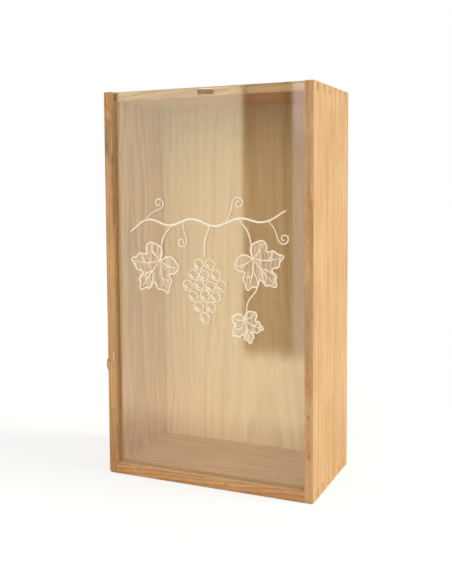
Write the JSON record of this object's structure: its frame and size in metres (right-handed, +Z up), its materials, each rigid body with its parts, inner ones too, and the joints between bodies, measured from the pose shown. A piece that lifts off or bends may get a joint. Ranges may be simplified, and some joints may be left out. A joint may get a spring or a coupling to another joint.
{
  "type": "wooden wine gift box",
  "caption": "Upright wooden gift box for bottles, finger-jointed at the corners, with a clear lid that slides up out of grooves in the sides.",
  "frame": {"origin": "middle of the underside of the box, the lid shut", "axes": "+Z up, the way the lid slides out; +Y from the open front to the back panel; +X across the front, to the right as seen from the front"},
  "size_m": [0.2, 0.108, 0.355],
  "materials": {
    "side_wood": "oiled pine, satin",
    "cross_wood": "oiled pine, satin",
    "panel_wood": "pale plywood, oiled",
    "brad_steel": "plain steel brads",
    "clear_acrylic": "clear cast acrylic, polished, with a frosted engraving"
  },
  "bodies": {
    "box": {"left_side": "side_wood", "right_side": "side_wood", "top_board": "cross_wood", "bottom_board": "cross_wood", "back_panel": "panel_wood", "back_brads": "brad_steel"},
    "lid": {"sliding_lid": "clear_acrylic"}
  },
  "joints": [
    {"name": "lid_slide", "type": "slide", "parent": "box", "child": "lid", "axis": [0, 0, 1], "range_m": [0, 0.352]}
  ]
}
